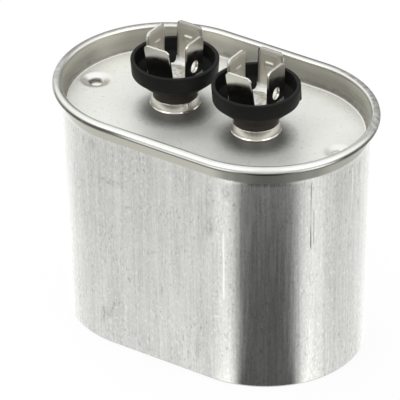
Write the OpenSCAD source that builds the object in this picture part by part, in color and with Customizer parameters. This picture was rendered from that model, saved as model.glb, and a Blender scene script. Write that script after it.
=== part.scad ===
// Oval motor capacitor: a drawn can, a lid rolled onto it, and two four-tab terminals in insulating cups.
// Millimetres. The can stands on its foot at z = 0, its long axis lies along X, and the terminals point up.

/* [Can] */
// Length over the rolled rim
rim_l = 73.9; // [66:0.1:84]
// Width over the rolled rim
rim_w = 48.5; // [44:0.1:54]
// Height to the top of the rolled rim
can_h = 56.2; // [40:0.1:110]
// Thickness of the drawn wall
wall_t = 0.4; // [0.3:0.05:0.45]
// How much the wall draws in from the lid to the foot, on each side
draft = 0.6; // [0:0.1:1.2]
// Outer radius round the foot
foot_r = 0.9; // [0.5:0.1:2]
// Free height between the lid and the sealed winding
head_space = 6; // [5:0.5:10]

/* [Lid and rolled rim] */
// Thickness of the lid sheet
lid_t = 0.35; // [0.25:0.05:0.4]
// Thickness of the rolled rim, seen from above
bead_d = 2; // [1.9:0.1:2.6]
// How far the lid panel lies below the top of the rim
lid_depth = 5.35; // [4:0.05:8]
// How far the lid wall leans out between the panel and the rim
wall_lean = 0.8; // [0.4:0.1:1.2]
// Radius between the lid panel and its wall
panel_r = 0.6; // [0.3:0.1:1]
// Angle below the horizontal at which the lid's edge tucks in under the rim
tuck_angle = 110; // [90:1:112]
// Angle below the horizontal at which the can's edge ends inside the rim
hook_end = 60; // [30:1:75]
// Width of each pressed dish
dish_d = 7.2; // [5:0.1:8]
// Depth of each pressed dish
dish_depth = 1.1; // [0.6:0.1:1.4]
// Flat left between a dish and the corner at the end of the panel
dish_margin = 0.1; // [0.1:0.1:2]
// How far each dish is turned round its end, away from the long axis
dish_turn = 5.2; // [0:0.2:8]
// Width of the pit in the middle of each dish
pit_d = 2.6; // [2:0.1:4]
// Depth of the pit below its dish
pit_depth = 0.7; // [0.3:0.1:1]

/* [Terminal insulators] */
// Distance between the two terminals
pitch = 20.6; // [20:0.1:24]
// Outer width of the cup at its lip
cup_d = 19; // [18.4:0.1:19.6]
// Height of the cup's lip above the lid panel
cup_h = 10.85; // [10.4:0.05:13]
// Height of the cup's upright wall
cup_wall_h = 3.5; // [2.5:0.1:3.8]
// Thickness of the cup's lip
lip_t = 0.9; // [0.7:0.05:1.1]
// How much the cup's wall draws in from the lip to its lower edge, on each side
cup_draft = 0.24; // [0:0.02:0.4]
// Radius round the lower edge of the cup's wall, inside and out
cup_edge_r = 0.6; // [0.3:0.1:0.8]
// Radius on both edges of the lip
lip_edge_r = 0.2; // [0.1:0.05:0.3]
// Height of the cup's inner lower corner above its outer one
cup_step = 0.5; // [0.3:0.1:0.8]
// Width of the neck below the cup
neck_d = 9.5; // [8.8:0.1:9.6]
// Height of the neck above the lid panel
neck_h = 3.25; // [3:0.05:3.6]
// Width of the spigot that passes through the lid
spigot_d = 7.6; // [7:0.1:8]
// Length of the spigot below the lid sheet
spigot_l = 1.2; // [0.8:0.1:1.6]

/* [Collars and bushes] */
// Width of the collar across its upright side
collar_d = 10.1; // [10:0.05:10.4]
// Width of the collar across its foot
collar_foot_d = 11.3; // [11:0.1:12]
// Height of the collar
collar_h = 2.05; // [1.9:0.05:2.6]
// Sheet thickness of the collar
collar_t = 0.3; // [0.2:0.05:0.4]
// Radius of the cove between the collar's side and its foot
collar_cove = 0.5; // [0.3:0.05:0.55]
// Outer width of the bush under the lid
bush_d = 13; // [11:0.5:16]
// Thickness of the bush below the spigot
bush_t = 1; // [0.8:0.1:1.6]

/* [Tabs and rivets] */
// Width of a tab
tab_w = 6.35; // [6:0.05:6.5]
// Thickness of a tab
tab_t = 0.8; // [0.7:0.05:0.9]
// Height of the tabs that stand across the long axis, above the base they are bent from
cross_tab_h = 9.7; // [8:0.05:11]
// Height of the tabs that stand along the long axis, above the base they are bent from
long_tab_h = 9.35; // [8:0.05:11]
// Distance between the feet of the two tabs that stand across the long axis
cross_pair = 9.26; // [9:0.02:10.4]
// Distance between the feet of the two tabs that stand along the long axis
long_pair = 12; // [11.6:0.1:12.4]
// Angle at which the tabs across the long axis lean out
cross_splay = 1.5; // [0, 1.5, 2.5]
// Angle at which the tabs along the long axis lean out
long_splay = 5.5; // [0, 5.5, 6]
// Inner radius of the bend at the foot of a tab
bend_r = 0.4; // [0.3:0.1:0.6]
// Radius of a tab's top corners
tab_corner = 1.1; // [0.5:0.1:1.5]
// Bevel round the tip of a tab
tab_bevel = 0.1; // [0.05:0.05:0.3]
// Width of the hole through the tabs that stand across the long axis
tab_hole_d = 2.7; // [2:0.1:3]
// Distance from a tab's tip to the middle of its hole
tab_hole_drop = 6.4; // [5.9:0.1:6.8]
// Distance from a tab's tip to the middle of its detent
detent_drop = 3.5; // [3:0.1:3.8]
// Width of a detent
detent_w = 2.4; // [1.6:0.1:3]
// Height of a detent
detent_h = 1.5; // [1.2:0.1:1.8]
// How far a detent is pressed in
detent_depth = 0.3; // [0.2:0.05:0.4]
// Slope at the top and bottom of a detent
detent_slope = 0.3; // [0.2:0.05:0.4]
// Height of the terminal's base above the lid panel
base_z = 6.2; // [5.9:0.1:6.5]
// Width of the rivet's shank
rivet_d = 3.1; // [2.6:0.1:3.6]
// Width of the rivet's heads
rivet_head_d = 5.4; // [4.6:0.1:5.8]
// Height of the rivet's heads
rivet_head_h = 0.7; // [0.5:0.1:0.9]
// Radius round the edge of the rivet's heads
head_edge_r = 0.3; // [0.1:0.05:0.4]

/* [Fits] */
// Clearance between the rolled layers of lid and can
seam_gap = 0.03; // [0.02:0.01:0.05]
// Clearance round a piece that passes through another
slip_gap = 0.06; // [0.04:0.01:0.1]

/* [Hidden] */
$fn = 96;
// Enough to run a cut clear of the face that it starts from
past = 1;

// The oval is swept round a straight centre line of this length
run = rim_l - rim_w;
bead_r = bead_d / 2;
bead_x = rim_w / 2 - bead_r;
bead_z = can_h - bead_r;
panel_z = can_h - lid_depth;
panel_under = panel_z - lid_t;
lid_wall_top = bead_x - bead_r;
lid_wall_low = lid_wall_top - wall_lean;
hook_r = bead_r - lid_t - seam_gap;
neck_in_top = bead_x - hook_r;
neck_in_low = neck_in_top - wall_lean;
can_top_r = neck_in_low + wall_t;
can_foot_r = can_top_r - draft;
fill_z = panel_under - head_space;
panel_edge = lid_wall_low - panel_r;
dish_reach = panel_edge - dish_margin - dish_d / 2;
dish_sphere = (pow(dish_d / 2, 2) + pow(dish_depth, 2)) / (2 * dish_depth);
dish_middle = panel_z - dish_depth + dish_sphere;
pit_z = panel_z - dish_depth - pit_depth;
// The pit's wall ends inside the sheet of the dish
pit_brim = dish_middle - sqrt(pow(dish_sphere, 2) - pow(pit_d / 2, 2)) - lid_t / 4;

cup_r = cup_d / 2;
cup_low_r = cup_r - cup_draft;
cup_low_z = cup_h - cup_wall_h;
neck_r = neck_d / 2;
spigot_r = spigot_d / 2;
spigot_end = -lid_t - spigot_l;
cup_in_r = cup_r - lip_t;
cup_in_low_z = cup_low_z + cup_step;
// The cup's floor is as wide as the corners of the longest pair of tabs need
bend_out = bend_r + tab_t;
floor_r = norm([tab_w / 2, long_pair / 2 + tab_t / 2 - bend_out / 2]) + slip_gap;
bore_r = rivet_d / 2 + slip_gap;
bush_end = spigot_end - bush_t;
collar_bore = neck_r + slip_gap;
head_z = base_z + tab_t;

plain_aluminium = [0.80, 0.80, 0.78];
tinplate = [0.86, 0.87, 0.84];
nickel = [0.72, 0.68, 0.60];
black_resin = [0.08, 0.08, 0.08];
tinned_brass = [0.78, 0.76, 0.70];
bright_steel = [0.85, 0.85, 0.83];
fibre = [0.45, 0.33, 0.22];

function unit(v) = v / norm(v);
function flat(p) = [p.x, p.y];
// Half the angle inside the corner at b, between the sides to a and to c
function half_angle(a, b, c) = acos(unit(a - b) * unit(c - b)) / 2;
function round_middle(a, b, c, r) = b + unit(unit(a - b) + unit(c - b)) * r / sin(half_angle(a, b, c));
function round_ends(a, b, c, r) =
    let (reach = r / tan(half_angle(a, b, c))) [b + unit(a - b) * reach, b + unit(c - b) * reach];
function before(points, i) = flat(points[(i + len(points) - 1) % len(points)]);
function after(points, i) = flat(points[(i + 1) % len(points)]);
function is_outer(points, i) =
    cross(flat(points[i]) - before(points, i), after(points, i) - flat(points[i])) > 0;

// The rounds of one kind, outer or inner, at the corners of an outline
module corner_rounds(points, outer) {
    for (i = [0 : len(points) - 1])
        if (points[i].z > 0 && is_outer(points, i) == outer)
            translate(round_middle(before(points, i), flat(points[i]), after(points, i), points[i].z))
                circle(r = points[i].z);
}

// A closed outline, anticlockwise, of [x, y, radius] corners: each corner has a true arc of its own radius
module outline(points) {
    difference() {
        union() {
            polygon([for (i = [0 : len(points) - 1]) let (p = points[i])
                each p.z > 0 ? round_ends(before(points, i), flat(p), after(points, i), p.z) : [flat(p)]]);
            corner_rounds(points, true);
        }
        corner_rounds(points, false);
    }
}

// A rolled layer: a ring between two radii, open below from the angle where it ends to the inner side
module rolled_layer(inner_r, outer_r, end_angle) {
    difference() {
        circle(r = outer_r);
        circle(r = inner_r);
        polygon([[0, 0], for (k = [0 : 4]) 2 * outer_r * [cos(-end_angle - k * (180 - end_angle) / 4),
                                                         sin(-end_angle - k * (180 - end_angle) / 4)]]);
    }
}

// Carries a section round the oval: two half turns at the ends, and two straights between them
module round_the_oval() {
    for (end = [-1, 1])
        translate([end * run / 2, 0, 0])
            rotate([0, 0, -end * 90])
                rotate_extrude(angle = 180) children();
    for (side = [0, 1])
        mirror([0, side, 0])
            translate([-run / 2, 0, 0])
                rotate([90, 0, 90])
                    linear_extrude(run) children();
}

// Puts a terminal piece, drawn round the Z axis with z = 0 on the lid panel, at one of the two places
module at_terminal(side) {
    translate([side * pitch / 2, 0, panel_z]) children();
}

module can() {
    color(plain_aluminium) round_the_oval() {
        union() {
            outline([
                [0, 0, 0],
                [can_foot_r, 0, foot_r],
                [can_top_r, panel_z, 0],
                [neck_in_top + wall_t, bead_z, 0],
                [neck_in_top, bead_z, 0],
                [neck_in_low, panel_z, 0],
                [neck_in_low - draft * (panel_z - fill_z) / panel_z, fill_z, 0],
                [0, fill_z, 0]]);
            translate([bead_x, bead_z]) rolled_layer(hook_r - wall_t, hook_r, hook_end);
        }
    }
}

// The lid's wall and rolled edge, from the radius at the edge of its flat panel
module lid_wall_section() {
    outline([
        [panel_edge, panel_under, 0],
        [lid_wall_low + lid_t, panel_under, 0],
        [lid_wall_low + lid_t, panel_z, 0],
        [lid_wall_top + lid_t, bead_z, 0],
        [lid_wall_top, bead_z, 0],
        [lid_wall_low, panel_z, panel_r],
        [panel_edge, panel_z, 0]]);
    translate([bead_x, bead_z]) rolled_layer(bead_r - lid_t, bead_r, tuck_angle);
}

// Puts a shape at the middle of both dishes, each turned the same way round its end
module at_dishes() {
    for (end = [-1, 1])
        translate([end * run / 2, 0, 0]) rotate([0, 0, dish_turn]) translate([end * dish_reach, 0, 0]) children();
}

// The flat panel, with an opening for each spigot and each dish
module lid_panel() {
    translate([0, 0, panel_under]) linear_extrude(lid_t) difference() {
        union() {
            square([run, 2 * panel_edge], center = true);
            for (end = [-1, 1]) translate([end * run / 2, 0]) circle(r = panel_edge);
        }
        at_dishes() circle(d = dish_d);
        for (side = [-1, 1]) translate([side * pitch / 2, 0]) circle(r = spigot_r + slip_gap);
    }
}

// The section of a dish: sheet between two spheres, with a flat-bottomed pit in the middle
module dish_section() {
    difference() {
        intersection() {
            translate([0, dish_middle]) circle(r = dish_sphere + lid_t);
            translate([0, panel_z - dish_depth - lid_t]) square([dish_d / 2, dish_depth + lid_t]);
        }
        translate([0, dish_middle]) circle(r = dish_sphere);
        translate([0, pit_z]) square([pit_d / 2, dish_depth + pit_depth]);
    }
    translate([0, pit_z - lid_t]) square([pit_d / 2 + lid_t, lid_t]);
    translate([pit_d / 2, pit_z - lid_t]) square([lid_t, pit_brim - pit_z + lid_t]);
}

module lid() {
    color(tinplate) {
        round_the_oval() lid_wall_section();
        lid_panel();
        at_dishes() rotate_extrude() dish_section();
    }
}

// A cup of thin sheet with a swelling side, a foot that stands out, and a mouth that flares round the neck
module collar() {
    color(nickel) rotate_extrude() {
        difference() {
            translate([spigot_r + slip_gap, 0])
                square([collar_foot_d / 2 - spigot_r - slip_gap, collar_h]);
            // Room round the neck
            translate([0, collar_t]) square([collar_bore, collar_h]);
            // Room outside the upright side, the cove and the foot
            translate([collar_d / 2 + collar_cove, collar_t + collar_cove]) circle(r = collar_cove);
            translate([collar_d / 2, collar_t + collar_cove]) square([collar_foot_d, collar_h]);
            translate([collar_d / 2 + collar_cove, collar_t]) square([collar_foot_d, collar_h]);
        }
    }
}

module insulator() {
    color(black_resin) rotate_extrude() outline([
        [bore_r, spigot_end, 0],
        [spigot_r, spigot_end, 0],
        [spigot_r, collar_t, 0],
        [neck_r, collar_t, 0],
        [neck_r, neck_h, 0],
        [cup_low_r, cup_low_z, cup_edge_r],
        [cup_r, cup_h, lip_edge_r],
        [cup_in_r, cup_h, lip_edge_r],
        [cup_in_r - cup_draft, cup_in_low_z, cup_edge_r],
        [floor_r, base_z, 0],
        [bore_r, base_z, 0]]);
}

// Takes the foot of the insulator in a recess, and bears on the lid round it
module bush() {
    color(fibre) rotate_extrude() outline([
        [bore_r, bush_end, 0],
        [bush_d / 2, bush_end, bush_t / 3],
        [bush_d / 2, -lid_t, 0],
        [spigot_r + slip_gap, -lid_t, 0],
        [spigot_r + slip_gap, spigot_end, 0],
        [bore_r, spigot_end, 0]]);
}

// One arm of the base with its tab, along +X: one bent section, cut to shape in the plane of the leaning tab
module tab_arm(half, height, splay, with_hole) {
    axis = [half + tab_t / 2 - bend_out, base_z + bend_out];
    out = [cos(splay), -sin(splay)];
    along = [sin(splay), cos(splay)];
    length = (height + tab_t - bend_out + (bend_r + tab_t / 2) * sin(splay)) / cos(splay);
    // The corner before it is rounded, where a face of the arm and a face of the tab would meet
    bend_outer = axis + bend_out * [(1 - sin(splay)) / cos(splay), -1];
    bend_inner = axis + bend_r * [(1 - sin(splay)) / cos(splay), -1];
    // The bevels run on a little past the tip, which the tab's outline then cuts off
    shoulder = (length - 2 * tab_bevel) * along;
    apex = (length + tab_bevel / 10) * along;
    inset = 1.05 * tab_bevel;
    difference() {
        union() {
            intersection() {
                translate([0, tab_w / 2 + past, 0]) rotate([90, 0, 0]) linear_extrude(tab_w + 2 * past)
                    difference() {
                        outline([
                            [0, base_z, 0],
                            [each bend_outer, bend_out],
                            [each axis + bend_out * out + shoulder, 0],
                            [each axis + (bend_out - inset) * out + apex, 0],
                            [each axis + (bend_r + inset) * out + apex, 0],
                            [each axis + bend_r * out + shoulder, 0],
                            [0, axis.y + shoulder.y, 0]]);
                        outline([
                            [-past, base_z + tab_t, 0],
                            [each bend_inner, bend_r],
                            [each axis + bend_r * out + (length + past) * along, 0],
                            [-past, axis.y + length + past, 0]]);
                    }
                on_tab(axis, splay) translate([-half - past, 0, 0])
                    rotate([90, 0, 90]) linear_extrude(2 * (half + past)) outline([
                        [-tab_w / 2, -half, 0],
                        [tab_w / 2, -half, 0],
                        [tab_w / 2, length, tab_corner],
                        [-tab_w / 2, length, tab_corner]]);
            }
            on_tab(axis, splay) detent(bend_r, length - detent_drop);
        }
        on_tab(axis, splay) {
            detent(bend_out, length - detent_drop);
            if (with_hole)
                translate([bend_r - past, 0, length - tab_hole_drop])
                    rotate([0, 90, 0]) cylinder(d = tab_hole_d, h = tab_t + 2 * past);
        }
    }
}

// Puts a shape on a tab: X off its outer face and Z along it, both from the axis of its bend
module on_tab(axis, splay) {
    translate([axis.x, 0, axis.y]) rotate([0, splay, 0]) children();
}

// A detent pressed towards the middle of the terminal, from the face at x, with a stub on the other side
module detent(x, z) {
    stub = detent_depth / 3;
    translate([x, detent_w / 2, z]) rotate([90, 0, 0]) linear_extrude(detent_w) polygon([
        [stub, -detent_h / 2],
        [stub, detent_h / 2],
        [0, detent_h / 2],
        [-detent_depth, detent_h / 2 - detent_slope],
        [-detent_depth, -detent_h / 2 + detent_slope],
        [0, -detent_h / 2]]);
}

module terminal() {
    color(tinned_brass) difference() {
        for (end = [0, 180]) {
            rotate([0, 0, end]) tab_arm(cross_pair / 2, cross_tab_h, cross_splay, true);
            rotate([0, 0, end + 90]) tab_arm(long_pair / 2, long_tab_h, long_splay, false);
        }
        translate([0, 0, base_z - past]) cylinder(r = bore_r, h = tab_t + 2 * past);
    }
}

module rivet() {
    color(bright_steel) rotate_extrude() outline([
        [0, bush_end - rivet_head_h, 0],
        [rivet_head_d / 2, bush_end - rivet_head_h, head_edge_r],
        [rivet_head_d / 2, bush_end, 0],
        [rivet_d / 2, bush_end, 0],
        [rivet_d / 2, head_z, 0],
        [rivet_head_d / 2, head_z, 0],
        [rivet_head_d / 2, head_z + rivet_head_h, head_edge_r],
        [0, head_z + rivet_head_h, 0]]);
}

can();
lid();
at_terminal(-1) collar();  // collar_left
at_terminal(1) collar();  // collar_right
at_terminal(-1) insulator();  // insulator_left
at_terminal(1) insulator();  // insulator_right
at_terminal(-1) bush();  // bush_left
at_terminal(1) bush();  // bush_right
at_terminal(-1) terminal();  // terminal_left
at_terminal(1) terminal();  // terminal_right
at_terminal(-1) rivet();  // rivet_left
at_terminal(1) rivet();  // rivet_right
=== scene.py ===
import bmesh
import bpy
import numpy as np
from mathutils import Matrix, Vector


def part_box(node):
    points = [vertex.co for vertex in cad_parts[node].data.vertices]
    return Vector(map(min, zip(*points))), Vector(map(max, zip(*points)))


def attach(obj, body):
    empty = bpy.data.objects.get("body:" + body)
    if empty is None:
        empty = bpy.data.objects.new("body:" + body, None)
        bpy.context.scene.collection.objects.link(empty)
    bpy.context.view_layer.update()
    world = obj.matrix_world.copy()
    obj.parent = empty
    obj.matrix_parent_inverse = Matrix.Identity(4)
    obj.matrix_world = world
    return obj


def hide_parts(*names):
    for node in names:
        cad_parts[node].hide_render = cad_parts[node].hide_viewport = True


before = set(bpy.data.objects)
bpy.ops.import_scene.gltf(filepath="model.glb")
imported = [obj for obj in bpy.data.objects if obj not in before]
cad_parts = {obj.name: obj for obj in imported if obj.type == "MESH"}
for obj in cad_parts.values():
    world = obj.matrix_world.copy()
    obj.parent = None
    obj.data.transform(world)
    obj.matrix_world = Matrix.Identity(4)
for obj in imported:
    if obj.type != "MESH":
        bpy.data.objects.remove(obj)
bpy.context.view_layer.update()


# The can is drawn in one piece from aluminium sheet, which leaves fine lines up its wall.
# The wall draws in a little towards the foot, and flares under the rim into a smooth neck.
# Its top edge is hooked into the edge of the lid, inside the rolled rim.
mm = 0.001
lid_low, lid_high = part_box("lid")
panel_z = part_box("collar_left")[0].z
rim_r = (lid_high.y - lid_low.y) / 2
run = lid_high.x - lid_low.x - 2 * rim_r
bead_r = 1.0 * mm
bead_x = rim_r - bead_r
bead_z = lid_high.z - bead_r
wall_lean = 0.8 * mm
can_t = 0.4 * mm
lid_t = 0.35 * mm
seam_gap = 0.03 * mm
hook_r = bead_r - lid_t - seam_gap
neck_in = bead_x - hook_r
can_top_r = neck_in - wall_lean + can_t
draft = 0.6 * mm
foot_r = 0.9 * mm
neck_bend_r = 4 * mm
fill_z = panel_z - lid_t - 6 * mm
ARC_STEPS, STRAIGHT_STEPS = 192, 20


def rounded(corners, steps=9):
    """A profile through [x, y, radius] corners: each corner with a radius gives way to the arc that
    touches both of its sides, drawn by turning the radius evenly from one touching point to the other."""
    corners = np.array(corners, float)
    places = corners[:, :2]
    stretches = [places[:1]]
    for before, here, after, radius in zip(places, places[1:], places[2:], corners[1:-1, 2]):
        if radius == 0:
            stretches.append(here[None])
            continue
        back = (before - here) / np.linalg.norm(before - here)
        on = (after - here) / np.linalg.norm(after - here)
        half = np.arccos(np.clip(back @ on, -1, 1)) / 2
        middle = here + (back + on) / np.linalg.norm(back + on) * radius / np.sin(half)
        first = here + back * radius / np.tan(half) - middle
        last = here + on * radius / np.tan(half) - middle
        sweep = np.pi - 2 * half
        share = np.linspace(0, 1, steps)[:, None]
        swung = np.sin((1 - share) * sweep) * first + np.sin(share * sweep) * last
        stretches.append(middle + swung / np.sin(sweep))
    return np.concatenate([*stretches, places[-1:]])


def arc(middle, radius, start, end, steps):
    """Points of a circle's arc between two angles in degrees."""
    turn = np.radians(np.linspace(start, end, steps))
    return np.array(middle) + radius * np.c_[np.cos(turn), np.sin(turn)]


def oval_path():
    """The oval as a straight spine and the outward direction at each step, once round from the left of
    the front: the spine point runs along the straights and rests at the ends while the direction turns.
    The steps close up in the middle of each end, where the lid has its dishes."""
    even = np.linspace(-1, 1, ARC_STEPS + 1)
    turn = np.pi / 2 * np.sign(even) * np.abs(even) ** 1.3
    along = np.linspace(-run / 2, run / 2, STRAIGHT_STEPS + 1)[1:-1]
    ends = np.full(ARC_STEPS + 1, run / 2)
    spine = np.concatenate([along, ends, along[::-1], -ends, along[:1]])
    front, back = np.full(len(along), -np.pi / 2), np.full(len(along), np.pi / 2)
    angle = np.concatenate([front, turn, back, turn + np.pi, front[:1]])
    return spine, np.c_[np.cos(angle), np.sin(angle)]


def round_the_oval(profile):
    """Carries a profile of [distance from the spine, height] round the oval: each point stands that far
    out from the spine along the outward direction. Gives points and their lengths along and across."""
    spine, outward = oval_path()
    distance, height = np.asarray(profile).T
    points = np.empty((len(spine), len(profile), 3))
    points[..., 0] = spine[:, None] + outward[:, :1] * distance
    points[..., 1] = outward[:, 1:] * distance
    points[..., 2] = height
    return points, lengths(points)


def lengths(points):
    """Along and across a grid: the running distance down its middle column and along its first row."""
    down = points[:, points.shape[1] // 2]
    across = points[0]
    along = np.r_[0, np.cumsum(np.linalg.norm(np.diff(down, axis=0), axis=1))]
    over = np.r_[0, np.cumsum(np.linalg.norm(np.diff(across, axis=0), axis=1))]
    return np.stack(np.meshgrid(along, over, indexing="ij"), -1)


def quads(index):
    """The faces of a grid of point numbers: each four neighbours make one."""
    return np.stack([index[:-1, :-1], index[1:, :-1], index[1:, 1:], index[:-1, 1:]], -1).reshape(-1, 4)


def surface(name, slot, material, *grids, crease=40):
    """One mesh from grids of points: each four neighbours make a face, and points that fall together
    are merged, which closes seams and poles. Faces turn outwards, and edges past the crease stay sharp."""
    starts = np.cumsum([0] + [points.shape[0] * points.shape[1] for points, _ in grids])
    faces = []
    for (points, _), start in zip(grids, starts):
        index = start + np.arange(points.shape[0] * points.shape[1]).reshape(points.shape[:2])
        faces.append(quads(index))
    faces = np.concatenate(faces)
    corners = np.concatenate([points.reshape(-1, 3) for points, _ in grids])
    flat = np.concatenate([laid.reshape(-1, 2) for _, laid in grids])
    mesh = bpy.data.meshes.new(name)
    mesh.from_pydata(corners, [], faces)
    layer = mesh.uv_layers.new(name="UVMap")
    layer.data.foreach_set("uv", flat[faces.ravel()].astype(np.float32).ravel())
    work = bmesh.new()
    work.from_mesh(mesh)
    bmesh.ops.remove_doubles(work, verts=work.verts, dist=0.002 * mm)
    bmesh.ops.recalc_face_normals(work, faces=work.faces)
    work.to_mesh(mesh)
    work.free()
    mesh.shade_smooth()
    mesh.set_sharp_from_angle(angle=np.radians(crease))
    mesh.materials.append(material)
    piece = bpy.data.objects.new(name, mesh)
    bpy.context.scene.collection.objects.link(piece)
    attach(piece, "root")
    return piece


class Signal:
    """A socket in a node tree: arithmetic on it adds Math nodes, and node() adds a node of any other kind."""

    def __init__(self, tree, socket=None):
        self.tree = tree
        self.socket = socket

    def node(self, kind, settings, inputs, output=0):
        made = self.tree.nodes.new(kind)
        for key, value in settings.items():
            setattr(made, key, value)
        for key, value in inputs.items():
            if isinstance(value, Signal):
                self.tree.links.new(value.socket, made.inputs[key])
            else:
                made.inputs[key].default_value = value
        return Signal(self.tree, made.outputs[output] if made.outputs else None)

    def math(self, operation, *terms):
        return self.node("ShaderNodeMath", {"operation": operation}, dict(enumerate(terms)))

    def __add__(self, other):
        return self.math("ADD", self, other)

    def __sub__(self, other):
        return self.math("SUBTRACT", self, other)

    def __rsub__(self, other):
        return self.math("SUBTRACT", other, self)

    def __mul__(self, other):
        return self.math("MULTIPLY", self, other)

    def __truediv__(self, other):
        return self.math("DIVIDE", self, other)

    def __abs__(self):
        return self.math("ABSOLUTE", self)

    __radd__ = __add__
    __rmul__ = __mul__

    def step(self, low, high):
        """0 below low and 1 above high, with a smooth rise between."""
        return self.node("ShaderNodeMapRange", {"interpolation_type": "SMOOTHSTEP"},
                         {"Value": self, "From Min": low, "From Max": high})

    def blend(self, low, high):
        """The colour low where this is 0 and high where it is 1."""
        ends = [end if isinstance(end, Signal) else (*end, 1) for end in (low, high)]
        return self.node("ShaderNodeMix", {"data_type": "RGBA"}, {0: self, 6: ends[0], 7: ends[1]}, 2)

    def stretched(self, scale):
        """Coordinates multiplied axis by axis."""
        return self.node("ShaderNodeVectorMath", {"operation": "MULTIPLY"}, {0: self, 1: scale})

    def noise(self, size, detail=2.0, roughness=0.5):
        """Noise over these coordinates, with features of about this size in metres."""
        return self.node("ShaderNodeTexNoise", {},
                         {"Vector": self, "Scale": 1 / size, "Detail": detail, "Roughness": roughness})

    def part(self, axis):
        """One of the three numbers of a vector."""
        return self.node("ShaderNodeSeparateXYZ", {}, {0: self}, axis)

    def along(self, direction):
        """How far this vector reaches along a direction."""
        return self.node("ShaderNodeVectorMath", {"operation": "DOT_PRODUCT"},
                         {0: self, 1: direction}, "Value")


def finish(name, **constants):
    """A new material with a Principled shader that has these constants, and its place and lengths signals."""
    material = bpy.data.materials.new(name)
    material.use_nodes = True
    shader = material.node_tree.nodes["Principled BSDF"]
    for key, value in constants.items():
        shader.inputs[key.replace("_", " ")].default_value = value
    root = Signal(material.node_tree)
    place = root.node("ShaderNodeTexCoord", {}, {}, "Object")
    laid = root.node("ShaderNodeTexCoord", {}, {}, "UV")
    return material, shader, place, laid


def feed(shader, **signals):
    """Links signals to a shader's sockets, and a height signal through a Bump node to its normal."""
    tree = shader.id_data
    for key, signal in signals.items():
        if key == "Height":
            height, distance = signal
            inputs = {"Height": height, "Strength": 1.0, "Distance": distance}
            signal = height.node("ShaderNodeBump", {}, inputs)
            key = "Normal"
        tree.links.new(signal.socket, shader.inputs[key.replace("_", " ")])


# Marks on the wall, by the distance round it from the middle of the front and the height above the table:
# long scratches up the wall with their tone, one of them a painted highlight on the left wing, and dull
# smudges with their two half sizes
SCRATCHES = {
    "dark_gouge": (35.35, 33.5, 50.6, 0.17, 0.12),
    "beside_gouge": (36.05, 34.5, 44.0, 0.13, 0.34),
    # A bright line painted where the left wing's highlight runs: a painted highlight
    "wing_highlight": (16.3, 21.0, 38.5, 0.30, 0.78),
    "bright_graze": (46.9, 34.5, 50.2, 0.14, 0.95),
    "bright_foot_graze": (35.3, 1.0, 16.6, 0.12, 0.72)}
SMUDGES = {
    "front_rub": (-12.0, 41.4, 5.0, 1.0),
    "front_corner_rub": (-17.0, 49.0, 1.5, 1.6),
    "low_front_rub": (-15.0, 6.8, 0.9, 3.2),
    "foot_dent": (-17.7, 1.4, 0.5, 0.45),
    "low_left_rub": (-13.6, 8.0, 1.8, 1.7),
    "low_right_rub": (9.7, 6.6, 1.2, 3.2),
    "middle_rub": (13.0, 38.6, 1.4, 2.8),
    "wing_rub": (17.0, 48.4, 1.5, 2.6),
    "neck_edge_rub": (24.2, 51.3, 2.8, 0.22),
    "end_rub": (49.8, 47.8, 0.7, 3.4),
    "end_low_rub": (49.5, 39.7, 0.7, 2.0)}
# Painted dark reflections on the neck, in two lobes: the distances round the wall where each starts, is full,
# begins to fade and ends, and its depth
NECK_SHADES = {
    "left": (13.2, 17.6, 19.2, 22.8, 0.6),
    "right": (28.0, 33.0, 35.8, 41.2, 0.66)}
rub_grey = (0.30, 0.30, 0.29)


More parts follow.
